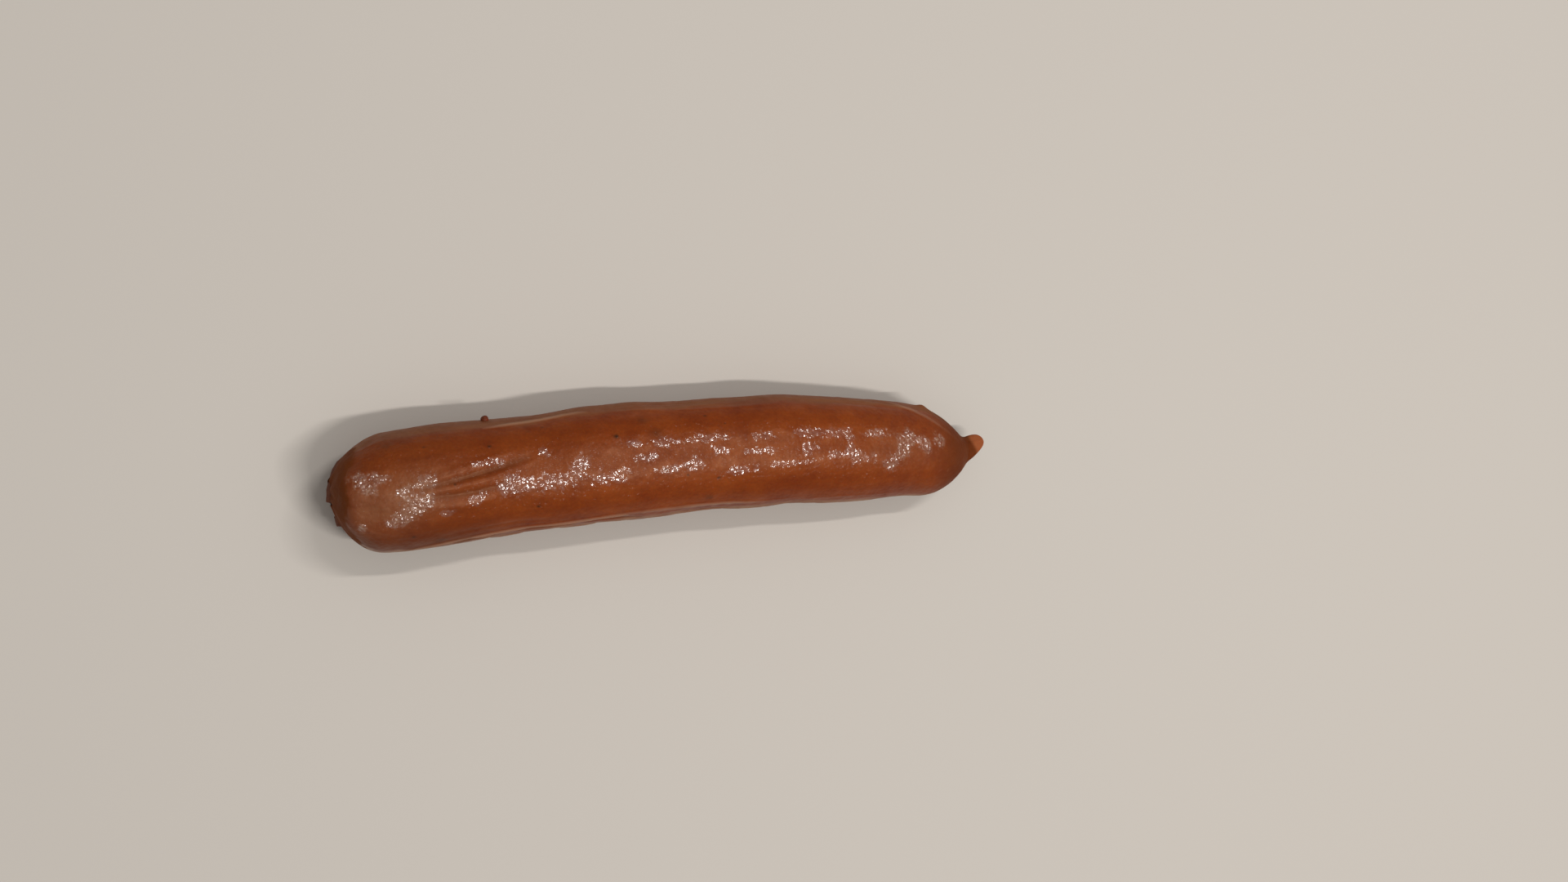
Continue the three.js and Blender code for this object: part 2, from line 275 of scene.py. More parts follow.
def add(tree, kind, *inputs, named=None, **settings):
    """Adds a node with its settings. inputs fill its sockets in order and named fills them by name: a node
    or a socket is linked, None is passed over, and anything else is the socket's own value."""
    node = tree.nodes.new(kind)
    for name, value in settings.items():
        setattr(node, name, value)
    sockets = [socket for socket in node.inputs if socket.enabled]
    by_name = {socket.name: socket for socket in sockets}
    pairs = [*zip(sockets, inputs), *((by_name[name], value) for name, value in (named or {}).items())]
    for socket, value in pairs:
        if isinstance(value, bpy.types.Node):
            value = next(output for output in value.outputs if output.enabled)
        if isinstance(value, bpy.types.NodeSocket):
            tree.links.new(value, socket)
        elif value is not None:
            socket.default_value = value
    return node


def new_tree(name, kind, inputs, outputs):
    """A node tree with named inputs and outputs, each given as name and kind of socket. Returns the tree
    and the sockets of its input node by name."""
    tree = bpy.data.node_groups.new(name, kind)
    for in_out, sockets in (("INPUT", inputs), ("OUTPUT", outputs)):
        for socket_name, socket_kind in sockets.items():
            kind_name = "NodeSocket" + socket_kind
            tree.interface.new_socket(name=socket_name, in_out=in_out, socket_type=kind_name)
    given = tree.nodes.new("NodeGroupInput")
    return tree, {socket.name: socket for socket in given.outputs if socket.name}


def closing_tree():
    """0 at the very end of the link, 1 once the rounding is over."""
    sizes = dict.fromkeys(("Distance", "Length", "Power", "Exponent"), "Float")
    tree, given = new_tree("Closing end", "GeometryNodeTree", sizes, {"Share": "Float"})
    gone = add(tree, MATH, given["Distance"], given["Length"], operation="DIVIDE", use_clamp=True)
    left = add(tree, MATH, 1.0, gone, operation="SUBTRACT")
    curved = add(tree, MATH, left, given["Power"], operation="POWER")
    rest = add(tree, MATH, 1.0, curved, operation="SUBTRACT", use_clamp=True)
    add(tree, "NodeGroupOutput", add(tree, MATH, rest, given["Exponent"], operation="POWER"))
    return tree


def distance_round(tree, turn, middle, girth):
    """How far a place lies from a line or a middle, measured round the link."""
    apart = add(tree, MATH, turn, middle, operation="SUBTRACT")
    apart = add(tree, MATH, apart, 180.0, -180.0, operation="WRAP")
    apart = add(tree, MATH, apart, operation="RADIANS")
    return add(tree, MATH, apart, girth, operation="MULTIPLY")


def fold_tree():
    """Height of one lengthwise fold at a place on the skin."""
    names = ("At", "Turn", "Girth", "From At", "From Turn", "To At", "To Turn", "Sag", "Width", "Height")
    tree, given = new_tree("Fold", "GeometryNodeTree", dict.fromkeys(names, "Float"), {"Height": "Float"})
    along = add(tree, RANGE, given["At"], given["From At"], given["To At"])
    left = add(tree, MATH, 1.0, along, operation="SUBTRACT")
    bulge = add(tree, MATH, add(tree, MATH, along, left, operation="MULTIPLY"), 4.0, operation="MULTIPLY")
    straight = add(tree, RANGE, along, 0.0, 1.0, given["From Turn"], given["To Turn"], clamp=False)
    line = add(tree, MATH, bulge, given["Sag"], straight, operation="MULTIPLY_ADD")
    apart = distance_round(tree, given["Turn"], line, given["Girth"])
    widths = add(tree, MATH, apart, given["Width"], operation="DIVIDE")
    squared = add(tree, MATH, add(tree, MATH, widths, 2.0, operation="POWER"), -1.0, operation="MULTIPLY")
    bell = add(tree, MATH, squared, operation="EXPONENT")
    tall = add(tree, MATH, add(tree, MATH, bulge, operation="SQRT"), given["Height"], operation="MULTIPLY")
    add(tree, "NodeGroupOutput", add(tree, MATH, tall, bell, operation="MULTIPLY"))
    return tree


def patch_tree(kind):
    """1 in the middle of an oval patch of skin, falling off like a bell: a third is left at its reach."""
    names = ("At", "Turn", "Middle At", "Middle Turn", "Along", "Round")
    tree, given = new_tree("Patch", kind, dict.fromkeys(names, "Float"), {"Share": "Float"})
    lengths = add(tree, MATH, given["At"], given["Middle At"], operation="SUBTRACT")
    lengths = add(tree, MATH, lengths, given["Along"], operation="DIVIDE")
    apart = distance_round(tree, given["Turn"], given["Middle Turn"], MEAN_GIRTH)
    widths = add(tree, MATH, apart, given["Round"], operation="DIVIDE")
    squared = add(tree, MATH, widths, 2.0, operation="POWER")
    squared = add(tree, MATH, lengths, lengths, squared, operation="MULTIPLY_ADD")
    bell = add(tree, MATH, add(tree, MATH, squared, -1.0, operation="MULTIPLY"), operation="EXPONENT")
    add(tree, "NodeGroupOutput", bell)
    return tree


def patches(tree, patch, rows, at, turn, total=0.0, clamp=False):
    """Adds up all patches in a list at a place on the skin, each times its strength."""
    kind = tree.bl_idname.replace("Tree", "Group")
    for mm, middle, reach, width, strength in rows:
        one = add(tree, kind, at, turn, mm * MM, middle, reach * MM, width * MM, node_tree=patch)
        total = add(tree, MATH, one, strength, total, operation="MULTIPLY_ADD", use_clamp=clamp)
    return total


def link_tree():
    """Geometry Nodes tree that makes the link: a flat grid, one direction along it and the other round it,
    is wrapped to the skin's shape, closed, and given its fine pebbled relief."""
    tree, given = new_tree(
        "Sausage link",
        "GeometryNodeTree",
        {
            "Geometry": "Geometry",
            "Casing": "Material",
            **dict.fromkeys(("Length", "Plumpness", "Bow", "Bow Skew", "Flattening"), "Float"),
            **dict.fromkeys(("Resting Sink", "Fold Strength", "Pebble Height", "Pebble Size"), "Float"),
            **dict.fromkeys(("Rings", "Sides", "Seed"), "Int"),
        },
        {"Geometry": "Geometry"},
    )
    closing = closing_tree()
    fold = fold_tree()
    patch = patch_tree("GeometryNodeTree")
    length = given["Length"]

    around = add(tree, MATH, given["Sides"], 1.0, operation="ADD")
    grid = add(tree, "GeometryNodeMeshGrid", 1.0, 1.0, given["Rings"], around)
    share = add(tree, SEPARATE, add(tree, "GeometryNodeInputPosition"))
    along = add(tree, MATH, share.outputs["X"], 0.5, operation="ADD")
    turned = add(tree, MATH, share.outputs["Y"], 0.5, operation="ADD")

    # Distance from the blunt end: crowded at both ends, even between them
    blunt = add(tree, MATH, along, BLUNT_RINGS["share"], operation="DIVIDE", use_clamp=True)
    blunt = add(tree, MATH, blunt, BLUNT_RINGS["crowding"], operation="POWER")
    blunt = add(tree, MATH, blunt, BLUNT_RINGS["reach"], operation="MULTIPLY")
    middle_reach = add(tree, MATH, length, BLUNT_RINGS["reach"] + TIP_RINGS["reach"], operation="SUBTRACT")
    between = add(tree, RANGE, along, BLUNT_RINGS["share"], 1 - TIP_RINGS["share"], 0.0, middle_reach)
    tip = add(tree, MATH, 1.0, along, operation="SUBTRACT")
    tip = add(tree, MATH, tip, TIP_RINGS["share"], operation="DIVIDE", use_clamp=True)
    tip = add(tree, MATH, tip, TIP_RINGS["crowding"], operation="POWER")
    tip = add(tree, MATH, tip, -TIP_RINGS["reach"], TIP_RINGS["reach"], operation="MULTIPLY_ADD")
    at = add(tree, MATH, add(tree, MATH, blunt, between, operation="ADD"), tip, operation="ADD")
    turn = add(tree, MATH, turned, 360.0, float(SEAM_TURN), operation="MULTIPLY_ADD")

    # Angle round the link
    angle = add(tree, MATH, turn, operation="RADIANS")
    up = add(tree, MATH, angle, operation="SINE")
    sideways = add(tree, MATH, angle, operation="COSINE")
    upright = add(tree, MATH, up, up, operation="MULTIPLY")
    on_top = add(tree, "FunctionNodeCompare", up, 0.0, data_type="FLOAT", operation="GREATER_THAN")

    # Half-width and line of the middle
    run = add(tree, MATH, at, length, operation="DIVIDE")
    meat_run = add(tree, MATH, run, MEAT_LENGTH / LENGTH, operation="MINIMUM")
    girths = []
    for place in (run, meat_run):
        curve = add(tree, "ShaderNodeFloatCurve", 1.0, place)
        points = curve.mapping.curves[0].points
        stations = [(mm * MM / LENGTH, half * MM / GIRTH_SCALE) for mm, half in GIRTH.items()]
        while len(points) < len(stations):
            points.new(0.5, 0.5)
        for point, station in zip(points, stations):
            point.location = station
        curve.mapping.update()
        wide = add(tree, MATH, curve, GIRTH_SCALE, operation="MULTIPLY")
        girths.append(add(tree, MATH, wide, given["Plumpness"], operation="MULTIPLY"))
    girth, meat_girth = girths
    axis_height = add(tree, MATH, meat_girth, given["Flattening"], operation="MULTIPLY")
    axis_height = add(tree, MATH, axis_height, given["Resting Sink"], operation="SUBTRACT")
    off_middle = add(tree, MATH, run, 2.0, -1.0, operation="MULTIPLY_ADD")
    bowed = add(tree, MATH, off_middle, off_middle, operation="MULTIPLY")
    bowed = add(tree, MATH, bowed, given["Bow"], operation="MULTIPLY")
    skewed = add(tree, MATH, off_middle, 3.0, operation="POWER")
    skewed = add(tree, MATH, skewed, off_middle, operation="SUBTRACT")
    skewed = add(tree, MATH, skewed, given["Bow Skew"], bowed, operation="MULTIPLY_ADD")
    blunt_turn = add(tree, MATH, at, BLUNT_TURN["reach"], operation="DIVIDE", use_clamp=True)
    blunt_turn = add(tree, MATH, 1.0, blunt_turn, operation="SUBTRACT")
    blunt_turn = add(tree, MATH, blunt_turn, 2.0, operation="POWER")
    reach = (TIP_TURN["start"], TIP_TURN["start"] + TIP_TURN["reach"])
    turned_in = add(tree, RANGE, at, *reach, 0.0, TIP_TURN["shift"], **SMOOTH)
    turned_in = add(tree, MATH, blunt_turn, BLUNT_TURN["shift"], turned_in, operation="MULTIPLY_ADD")
    middle = add(tree, MATH, turned_in, skewed, operation="SUBTRACT")

    # Folds, lumps and waves of the skin
    folds = 0.0
    for start, end, sag, width, height in FOLDS + CREASES:
        line = [start[0] * MM, start[1], end[0] * MM, end[1], sag, width * MM, height * MM]
        one = add(tree, "GeometryNodeGroup", at, turn, girth, *line, node_tree=fold)
        folds = add(tree, MATH, folds, one, operation="ADD")
    folds = add(tree, MATH, folds, given["Fold Strength"], operation="MULTIPLY")
    lumps = [(*row[:4], row[4] * MM) for row in LUMPS]
    relief = patches(tree, patch, lumps, at, turn, folds)
    for wave_length, start, height in WAVES:
        phase = add(tree, MATH, at, 2 * math.pi / (wave_length * MM), angle, operation="MULTIPLY_ADD")
        phase = add(tree, MATH, phase, math.radians(start), operation="SUBTRACT")
        wave = add(tree, MATH, phase, operation="SINE")
        relief = add(tree, MATH, wave, height * MM, relief, operation="MULTIPLY_ADD")

    # Distance of the skin from the middle
    from_tip = add(tree, MATH, MEAT_LENGTH, at, operation="SUBTRACT")
    ends = {}
    for name, distance, sizes in (
        ("blunt side", at, BLUNT_SIDE),
        ("blunt top", at, BLUNT_TOP),
        ("blunt bottom", at, BLUNT_BOTTOM),
        ("tip side", from_tip, TIP_SIDE),
        ("tip top", from_tip, TIP_TOP),
        ("nub", add(tree, MATH, length, at, operation="SUBTRACT"), NUB_ROUND),
    ):
        ends[name] = add(tree, "GeometryNodeGroup", distance, *sizes, node_tree=closing)
    side = add(tree, MATH, ends["blunt side"], ends["tip side"], operation="MULTIPLY")
    choices = (ends["blunt bottom"], ends["blunt top"])
    blunt_upright = add(tree, "GeometryNodeSwitch", on_top, *choices, input_type="FLOAT")
    vertical = add(tree, MATH, blunt_upright, ends["tip top"], operation="MULTIPLY")
    full = add(tree, MIX, upright, side, vertical, data_type="FLOAT")
    kept = add(tree, MATH, full, 3.0, operation="MULTIPLY", use_clamp=True)
    kept = add(tree, MATH, relief, kept, operation="MULTIPLY")
    meat = add(tree, MATH, girth, full, kept, operation="MULTIPLY_ADD")
    meat = add(tree, MATH, add(tree, MATH, meat, 0.0, operation="MAXIMUM"), NUB_BLEND, operation="POWER")
    pleat = add(tree, MATH, angle, float(NUB["pleats"]), operation="MULTIPLY")
    pleat = add(tree, MATH, pleat, operation="COSINE")
    pleat = add(tree, MATH, pleat, NUB["pleat_depth"] * NUB["half"], NUB["half"], operation="MULTIPLY_ADD")
    thickness = add(tree, MATH, upright, NUB["thickness"] - 1, 1.0, operation="MULTIPLY_ADD")
    nub = add(tree, MATH, pleat, thickness, operation="MULTIPLY")
    nub = add(tree, MATH, nub, ends["nub"], operation="MULTIPLY")
    nub = add(tree, MATH, nub, NUB_BLEND, operation="POWER")
    radius = add(tree, MATH, add(tree, MATH, meat, nub, operation="ADD"), 1 / NUB_BLEND, operation="POWER")

    # Place of the skin, with the end face pressed in and the underside flat
    y = add(tree, MATH, radius, sideways, middle, operation="MULTIPLY_ADD")
    tall = add(tree, MATH, radius, given["Flattening"], operation="MULTIPLY")
    z = add(tree, MATH, tall, up, axis_height, operation="MULTIPLY_ADD")
    near = add(tree, MATH, at, PUCKER["reach"], operation="DIVIDE", use_clamp=True)
    near = add(tree, MATH, 1.0, near, operation="SUBTRACT")
    pucker = add(tree, MATH, angle, float(PUCKER["pleats"]), operation="MULTIPLY")
    pucker = add(tree, MATH, add(tree, MATH, pucker, operation="COSINE"), 1.0, operation="ADD")
    pucker = add(tree, MATH, pucker, PUCKER["depth"], operation="MULTIPLY")
    rounded = add(tree, MATH, radius, PUCKER["round"], operation="DIVIDE", use_clamp=True)
    pucker = add(tree, MATH, pucker, rounded, operation="MULTIPLY")
    pucker = add(tree, MATH, pucker, near, operation="MULTIPLY")
    off_tear = [
        add(tree, MATH, add(tree, MATH, value, TEAR[name], operation="SUBTRACT"), 2.0, operation="POWER")
        for name, value in (("y", y), ("z", z))
    ]
    tear = add(tree, MATH, *off_tear, operation="ADD")
    tear = add(tree, MATH, tear, -1 / TEAR["width"] ** 2, operation="MULTIPLY")
    tear = add(tree, MATH, add(tree, MATH, tear, operation="EXPONENT"), TEAR["depth"], operation="MULTIPLY")
    near = add(tree, MATH, near, 2.0, operation="MULTIPLY", use_clamp=True)
    depth = add(tree, MATH, tear, near, pucker, operation="MULTIPLY_ADD")
    x = add(tree, MATH, length, -0.5, at, operation="MULTIPLY_ADD")
    x = add(tree, MATH, x, depth, operation="ADD")
    z = add(tree, MATH, z, 0.0, operation="MAXIMUM")

    # Wet patches, and the place on the skin as a UV map
    wet = patches(tree, patch, [(*row, 1.0) for row in WET_PATCHES], at, turn)
    geometry = grid.outputs["Mesh"]
    for name, kind, domain, value in (
        ("skin", "FLOAT2", "CORNER", add(tree, COMBINE, run, turned)),
        ("wet", "FLOAT", "POINT", wet),
        ("folds", "FLOAT", "POINT", folds),
    ):
        stored = {"Name": name, "Value": value}
        kinds = {"data_type": kind, "domain": domain}
        geometry = add(tree, "GeometryNodeStoreNamedAttribute", geometry, named=stored, **kinds)
    geometry = add(tree, "GeometryNodeSetPosition", geometry, None, add(tree, COMBINE, x, y, z))
    geometry = add(tree, "GeometryNodeMergeByDistance", geometry, named={"Distance": WELD})

    # Pebbled relief, fading out towards the flat underside
    place = add(tree, "GeometryNodeInputPosition")
    height = add(tree, SEPARATE, place).outputs["Z"]
    off_floor = add(tree, RANGE, height, 0.2 * MM, 2 * MM)
    rise = 0.0
    for size, strength in ((1.0, 1.0), (0.42, 0.4)):
        scale = add(tree, MATH, 1 / size, given["Pebble Size"], operation="DIVIDE")
        settings = {"Vector": place, "W": given["Seed"], "Scale": scale, "Detail": 1.0, "Roughness": 0.5}
        pebbles = add(tree, NOISE, named=settings, noise_dimensions="4D")
        pebbles = add(tree, MATH, pebbles, 0.5, operation="SUBTRACT")
        rise = add(tree, MATH, pebbles, 2 * strength, rise, operation="MULTIPLY_ADD")
    rise = add(tree, MATH, rise, given["Pebble Height"], operation="MULTIPLY")
    rise = add(tree, MATH, rise, off_floor, operation="MULTIPLY")
    outward = add(tree, "GeometryNodeInputNormal")
    outward = add(tree, VECTOR_MATH, outward, named={"Scale": rise}, operation="SCALE")
    geometry = add(tree, "GeometryNodeSetPosition", geometry, named={"Offset": outward})
    geometry = add(tree, "GeometryNodeSetShadeSmooth", geometry)
    geometry = add(tree, "GeometryNodeRealizeInstances", geometry)
    geometry = add(tree, "GeometryNodeSetMaterial", geometry, named={"Material": given["Casing"]})
    add(tree, "NodeGroupOutput", geometry)
    return tree


def new_material(name):
    """An empty material, and its tree."""
    material = bpy.data.materials.new(name)
    material.use_nodes = True
    material.node_tree.nodes.clear()
    return material, material.node_tree


def new_mesh(name, build):
    """A smooth mesh of what was built."""
    mesh = bpy.data.meshes.new(name)
    build.to_mesh(mesh)
    build.free()
    mesh.shade_smooth()
    return mesh


def casing_material(look):
    """Cooked collagen casing over smoke-cured meat: a moist satin skin with a soft red-brown depth. Clear
    melted fat on it gives pinpoint wet glints, and loose casing along the edges is greyer and drier, partly
    as a painted reflection."""
    material, tree = new_material("cooked collagen casing")
    place = add(tree, "ShaderNodeTexCoord").outputs["Object"]
    height = add(tree, SEPARATE, place).outputs["Z"]
    skin = add(tree, SEPARATE, add(tree, "ShaderNodeUVMap", uv_map="skin"))
    at = add(tree, MATH, skin.outputs["X"], LENGTH, operation="MULTIPLY")
    turn = add(tree, MATH, skin.outputs["Y"], 360.0, float(SEAM_TURN), operation="MULTIPLY_ADD")
    wet = add(tree, "ShaderNodeAttribute", attribute_name="wet").outputs["Fac"]
    folds = add(tree, "ShaderNodeAttribute", attribute_name="folds").outputs["Fac"]
    lengthwise = add(tree, "ShaderNodeMapping", place, named={"Scale": (STREAK_STRETCH, 1.0, 1.0)})
    patterns = {}
    for name, (size, detail, rough) in PATTERNS.items():
        settings = {"Scale": 1 / (size * MM), "Detail": detail, "Roughness": rough}
        patterns[name] = add(tree, NOISE, lengthwise if name == "streaks" else place, named=settings)
    blotches, streaks = patterns["blotches"], patterns["streaks"]

    # Meat below the casing: slow clouds, blotches, streaks along the link and fine grain. Towards the blunt
    # end it is darker, and its near flank there is darkened by painted shade.
    shade = add(tree, MATH, blotches, streaks, operation="ADD")
    shade = add(tree, MATH, shade, 1.0, operation="SUBTRACT")
    shade = add(tree, MATH, shade, 0.4, patterns["clouds"], operation="MULTIPLY_ADD")
    shade = add(tree, RANGE, shade, 0.22, 0.78)
    colour = add(tree, MIX, shade, opaque(look.deep), opaque(look.skin), data_type="RGBA")
    grain = add(tree, RANGE, patterns["grain"], 0.3, 0.7, 0.93, 1.05)
    colour = add(tree, VECTOR_MATH, colour, named={"Scale": grain}, operation="SCALE")
    darker_to_blunt_end = add(tree, RANGE, at, *DARKER_TO_BLUNT_END["at"], DARKER_TO_BLUNT_END["least"], 1.0, **SMOOTH)
    colour = add(tree, VECTOR_MATH, colour, named={"Scale": darker_to_blunt_end}, operation="SCALE")
    painted_shade = add(tree, RANGE, turn, *NEAR_FLANK_SHADE["turn"], 0.0, NEAR_FLANK_SHADE["most"], **SMOOTH)
    blunt_third = add(tree, RANGE, at, *NEAR_FLANK_SHADE["at"], 1.0, 0.0, **SMOOTH)
    painted_shade = add(tree, MATH, painted_shade, blunt_third, operation="MULTIPLY")

    # Set fat clouds the top, partly as a painted sheen
    patch = patch_tree("ShaderNodeTree")
    milky_sheen = patches(tree, patch, MILKY_SHEEN_PATCHES, at, turn, clamp=True)
    ragged = add(tree, RANGE, blotches, 0.35, 0.65, 0.7, 1.15)
    milky_sheen = add(tree, MATH, milky_sheen, ragged, operation="MULTIPLY", use_clamp=True)

    # Loose, drier casing along both edges, patchy on the near one, paler partly as a painted reflection of
    # the floor
    border = add(tree, MATH, patterns["film border"], FILM_AND_REFLECTION_WANDER, turn, operation="MULTIPLY_ADD")
    film = add(tree, RANGE, border, *FAR_FILM_AND_REFLECTION["above"], 1.0, 0.0, **SMOOTH)
    below = add(tree, RANGE, border, *FAR_FILM_AND_REFLECTION["below"], 0.0, FAR_FILM_AND_REFLECTION["most"], **SMOOTH)
    film = add(tree, MATH, film, below, operation="MULTIPLY")
    drop = add(tree, RANGE, at, *NEAR_FILM_AND_REFLECTION_DROP["at"], NEAR_FILM_AND_REFLECTION_DROP["degrees"], 0.0)
    lower = add(tree, MATH, border, drop, operation="SUBTRACT")
    near = add(tree, RANGE, lower, *NEAR_FILM_AND_REFLECTION["above"], 0.0, NEAR_FILM_AND_REFLECTION["most"], **SMOOTH)
    below = add(tree, RANGE, border, *NEAR_FILM_AND_REFLECTION["below"], 1.0, 0.0, **SMOOTH)
    patchy = add(tree, RANGE, patterns["clouds"], 0.38, 0.62, 0.35, 1.1)
    near = add(tree, MATH, near, patchy, operation="MULTIPLY")
    film = add(tree, MATH, near, below, film, operation="MULTIPLY_ADD")
    streaky = add(tree, RANGE, streaks, 0.3, 0.7, 0.4, 1.0)
    film = add(tree, MATH, film, streaky, operation="MULTIPLY")
    # A painted reflection of the floor, pale and patchy, right along the near edge
    edge = add(tree, MATH, border, NEAR_EDGE_REFLECTION["turn"], operation="SUBTRACT")
    edge = add(tree, MATH, edge, operation="ABSOLUTE")
    edge = add(tree, RANGE, edge, *NEAR_EDGE_REFLECTION["fades"], NEAR_EDGE_REFLECTION["most"], 0.0)
    edge = add(tree, MATH, edge, patchy, operation="MULTIPLY")

    # Painted highlights on the crests of the folds on both sides, painted shade in the furrows and pockets
    crest = add(tree, RANGE, folds, *CREST_HIGHLIGHT["fold"], 0.0, CREST_HIGHLIGHT["most"])
    low_on_side = add(tree, RANGE, height, *CREST_HIGHLIGHT["height"], 1.0, 0.0)
    crest = add(tree, MATH, crest, low_on_side, operation="MULTIPLY")
    furrow_shade = add(tree, RANGE, folds, *FURROW_SHADE["fold"], FURROW_SHADE["most"], 0.0)

    # Ends: the face is burnt and darkened by painted shade right up to its rim, the cone is darker, the nub
    # of bare casing paler but for painted shade on its near side
    rim = add(tree, MATH, blotches, 0.5, operation="SUBTRACT")
    rim = add(tree, MATH, rim, BURNT_AND_SHADED["raggedness"], at, operation="MULTIPLY_ADD")
    for name, side in (("near side", NEAR_SIDE), ("far side", FAR_SIDE)):
        further = add(tree, RANGE, turn, *side, 0.0, BURNT_AND_SHADED[name])
        rim = add(tree, MATH, rim, further, operation="SUBTRACT")
    face = add(tree, RANGE, rim, *BURNT_AND_SHADED["at"], 1.0, 0.0, **SMOOTH)
    cone = add(tree, RANGE, at, *CONE["at"], 0.0, CONE["most"], **SMOOTH)
    # The pale starts later on the near side, leaving the cone's dark there as painted shade
    to_far_side = add(tree, MATH, add(tree, MATH, turn, operation="RADIANS"), operation="COSINE")
    nub = add(tree, MATH, to_far_side, BARE_NUB["slant"], at, operation="MULTIPLY_ADD")
    nub = add(tree, RANGE, nub, *BARE_NUB["at"], 0.0, BARE_NUB["most"], **SMOOTH)

    # Pepper under the casing, with ragged outlines
    ragged = add(tree, MATH, patterns["pepper outline"], 0.5, operation="SUBTRACT")
    ragged_at = add(tree, MATH, ragged, PEPPER_RAGGEDNESS, at, operation="MULTIPLY_ADD")
    flecks = [(mm, middle, half, PEPPER_WIDTH * half, dark) for mm, middle, half, dark in PEPPER]
    pepper = patches(tree, patch, flecks, ragged_at, turn, clamp=True)

    # Relief too fine for the mesh: pebbles, pores, and round drops of melted fat; coarser at both ends
    pores, pebbles = patterns["pores"], patterns["pebbles"]
    rise = add(tree, MATH, pores, FINE_RELIEF["pores"], pebbles, operation="MULTIPLY_ADD")
    drops = add(tree, "ShaderNodeTexVoronoi", place, named={"Scale": 1 / DROP_SIZE}).outputs["Distance"]
    drops = add(tree, MATH, drops, 2.0, operation="POWER")
    rise = add(tree, MATH, drops, FINE_RELIEF["drops"], rise, operation="MULTIPLY_ADD")
    blunt_part = add(tree, RANGE, at, *ROUGHER["blunt"], 1.0, 0.0)
    rough_ends = add(tree, MATH, add(tree, RANGE, at, *ROUGHER["tip"]), blunt_part, operation="ADD")
    coarser = add(tree, MATH, rough_ends, 1.0, operation="ADD")
    rise = add(tree, MATH, rise, coarser, operation="MULTIPLY")
    bump = add(tree, BUMP, named={"Strength": 0.5, "Distance": FINE_RELIEF["dry"], "Height": rise})
    wet_bump = add(tree, BUMP, named={"Strength": 1.0, "Distance": FINE_RELIEF["wet"], "Height": rise})

    # Fat collects in ragged pools inside each wet patch, and at both ends pale specks in them are set fat
    # and painted glints. What is dry is dull.
    pools = add(tree, MATH, patterns["pools"], 0.5, operation="SUBTRACT")
    pools = add(tree, MATH, pools, 1.6, wet, operation="MULTIPLY_ADD")
    wetness = add(tree, RANGE, pools, 0.5, 0.75, 0.03, 1.0)
    dull = add(tree, MATH, face, cone, operation="ADD")
    dull = add(tree, MATH, dull, film, operation="ADD", use_clamp=True)
    moist = add(tree, MATH, 1.0, dull, operation="SUBTRACT")
    wetness = add(tree, MATH, wetness, moist, operation="MULTIPLY")
    roughness = add(tree, RANGE, blotches, 0.3, 0.7, look.roughness + 0.07, look.roughness - 0.07)
    roughness = add(tree, MATH, dull, 0.4, roughness, operation="MULTIPLY_ADD")
    specks = add(tree, RANGE, patterns["specks"], 0.42, 0.64, 0.05, 0.75)
    set_fat_and_glints = add(tree, RANGE, pools, 0.3, 1.1)
    set_fat_and_glints = add(tree, MATH, set_fat_and_glints, specks, operation="MULTIPLY")
    set_fat_and_glints = add(tree, MATH, set_fat_and_glints, rough_ends, operation="MULTIPLY")

    # Some of these shares are painted light: shade on the near flank, in the furrows and on the end face,
    # highlights on fold crests, a reflection along the edges, a sheen of set fat and glints at both ends
    for share, tone in (
        (painted_shade, look.dark),
        (milky_sheen, look.fat),
        (film, look.film),
        (edge, look.crest),
        (crest, look.crest),
        (furrow_shade, look.dark),
        (face, look.burnt),
        (cone, look.dark),
        (nub, look.nub),
        (pepper, look.pepper),
        (set_fat_and_glints, look.crest),
    ):
        colour = add(tree, MIX, share, colour, opaque(tone), data_type="RGBA")
    # A drop's glint is finer than a pixel, so the coat reflects more than fat does for it to show
    shader = add(
        tree,
        "ShaderNodeBsdfPrincipled",
        named={
            "Base Color": colour,
            "Roughness": roughness,
            "IOR": 1.33,
            "Specular Tint": (1.0, 0.64, 0.4, 1.0),
            "Normal": bump,
            "Subsurface Weight": 0.3,
            "Subsurface Radius": (1.0, 0.35, 0.15),
            "Subsurface Scale": 1.2 * MM,
            "Coat Weight": wetness,
            "Coat Roughness": look.wet_roughness,
            "Coat IOR": 1.85,
            "Coat Normal": wet_bump,
        },
    )
    add(tree, "ShaderNodeOutputMaterial", shader)
    return material


def crust_material(name, low, high, roughness):
    """Dull, dry meat or casing: mottled between two browns, with a fine rough grain."""
    material, tree = new_material(name)
    place = add(tree, "ShaderNodeTexCoord").outputs["Object"]
    grain = add(tree, NOISE, place, named={"Scale": 1 / (0.5 * MM), "Detail": 2.0})
    shade = add(tree, RANGE, grain, 0.35, 0.65, 0.0, 1.0)
    colour = add(tree, MIX, shade, opaque(low), opaque(high), data_type="RGBA")
    bump = add(tree, BUMP, named={"Strength": 0.6, "Distance": 0.1 * MM, "Height": grain})
    settings = {"Base Color": colour, "Roughness": roughness, "IOR": 1.36, "Normal": bump}
    add(tree, "ShaderNodeOutputMaterial", add(tree, "ShaderNodeBsdfPrincipled", named=settings))
    return material


def floor_material(look):
    """Matt pale card: no gloss, one even warm grey."""
    material, tree = new_material("matt pale card")
    settings = {"Base Color": opaque(look.floor), "Roughness": 0.9}
    add(tree, "ShaderNodeOutputMaterial", add(tree, "ShaderNodeBsdfPrincipled", named=settings))
    return material


def finish_piece(name, mesh):
    """Links a finished mesh as a piece that rides on the root body."""
    mesh.name = name
    piece = bpy.data.objects.new(name, mesh)
    bpy.context.scene.collection.objects.link(piece)
    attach(piece, "root")
    return piece


